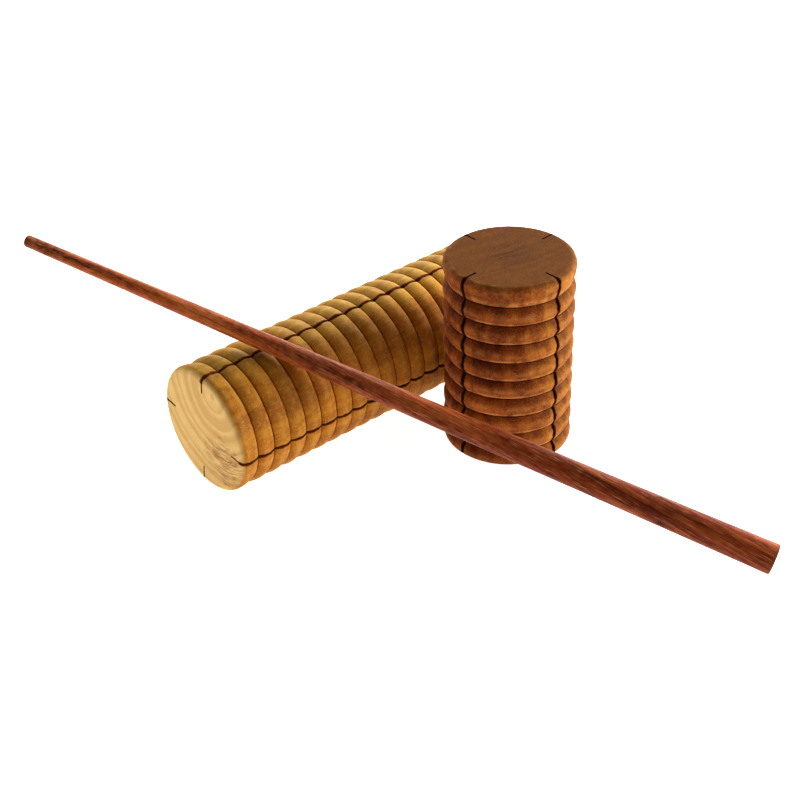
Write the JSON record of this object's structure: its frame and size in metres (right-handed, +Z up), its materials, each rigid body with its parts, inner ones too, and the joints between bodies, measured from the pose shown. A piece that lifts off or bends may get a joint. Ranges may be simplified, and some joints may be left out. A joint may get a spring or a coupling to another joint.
{
  "type": "ribbed wooden cylinders with stick",
  "caption": "Short and long ribbed wooden cylinders with lengthwise saw kerfs, and a tapered wooden stick that leans over the long one.",
  "frame": {"origin": "centre of the standing short cylinder's foot, on the table", "axes": "+Z up along the short cylinder; +X along the lying long cylinder, away from its near end; +Y from the short cylinder to the long one"},
  "size_m": [0.168, 0.2624, 0.0817],
  "materials": {
    "golden_wood": "bare golden-yellow hardwood, satin, with fine long grain and dark grooves",
    "red_brown_wood": "oiled red-brown hardwood, satin, darker sawn end face",
    "dark_red_wood": "smooth dark red-brown hardwood, satin, with darker streaks"
  },
  "bodies": {
    "long_cylinder": {"long_cylinder": "golden_wood"},
    "short_cylinder": {"short_cylinder": "red_brown_wood"},
    "stick": {"stick": "dark_red_wood"}
  },
  "joints": [
    {"name": "short_cylinder_lift", "type": "slide", "parent": "long_cylinder", "child": "short_cylinder", "axis": [0, 0, 1], "range_m": [0, 0.1]},
    {"name": "stick_stroke", "type": "slide", "parent": "long_cylinder", "child": "stick", "axis": [1, 0, 0], "range_m": [-0.022, 0.02]}
  ]
}
